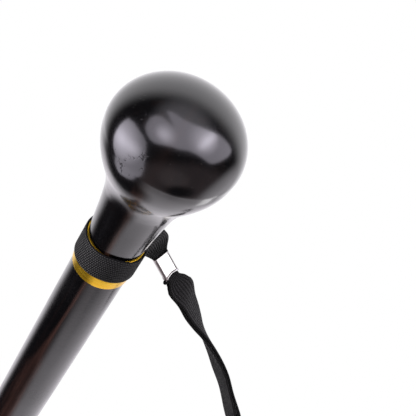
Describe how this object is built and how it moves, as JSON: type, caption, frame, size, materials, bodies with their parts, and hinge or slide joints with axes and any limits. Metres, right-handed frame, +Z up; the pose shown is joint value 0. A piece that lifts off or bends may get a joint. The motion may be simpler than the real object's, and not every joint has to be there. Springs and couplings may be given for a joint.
{
  "type": "knob handle walking stick",
  "caption": "Straight tapered walking stick with a round knob handle, gold collar, webbing wrist strap on a metal crimp, and a rubber ferrule.",
  "frame": {"origin": "centre of the ferrule's sole, where the stick meets the ground", "axes": "+Z up along the stick to the knob; the strap's tail leaves the collar towards -X and the wrist loop falls away towards +Y"},
  "size_m": [0.0646, 0.1457, 0.915],
  "materials": {
    "lacquered_wood": "black gloss lacquer",
    "gold": "polished gold tone",
    "steel": "zinc plated",
    "chrome": "bright",
    "webbing": "ribbed black webbing",
    "rubber": "matt"
  },
  "bodies": {
    "stick": {"knob_handle": "lacquered_wood", "joining_stud": "steel", "gold_collar": "gold", "shaft": "lacquered_wood"},
    "strap": {"strap_band": "webbing", "crimp_sleeve": "chrome"},
    "loop": {"wrist_loop": "webbing"},
    "ferrule": {"rubber_ferrule": "rubber", "ferrule_washer": "steel"}
  },
  "joints": [
    {"name": "strap_turn", "type": "hinge", "parent": "stick", "child": "strap", "pos_m": [0, 0, 0.8301], "axis": [0, 0, 1], "continuous": true},
    {"name": "loop_swing", "type": "hinge", "parent": "strap", "child": "loop", "pos_m": [-0.02242, 0.0289, 0.80876], "axis": [0.9925, 0.1219, 0], "range_deg": [-50, 60]},
    {"name": "ferrule_pull", "type": "slide", "parent": "stick", "child": "ferrule", "axis": [0, 0, -1], "range_m": [0, 0.03]}
  ]
}
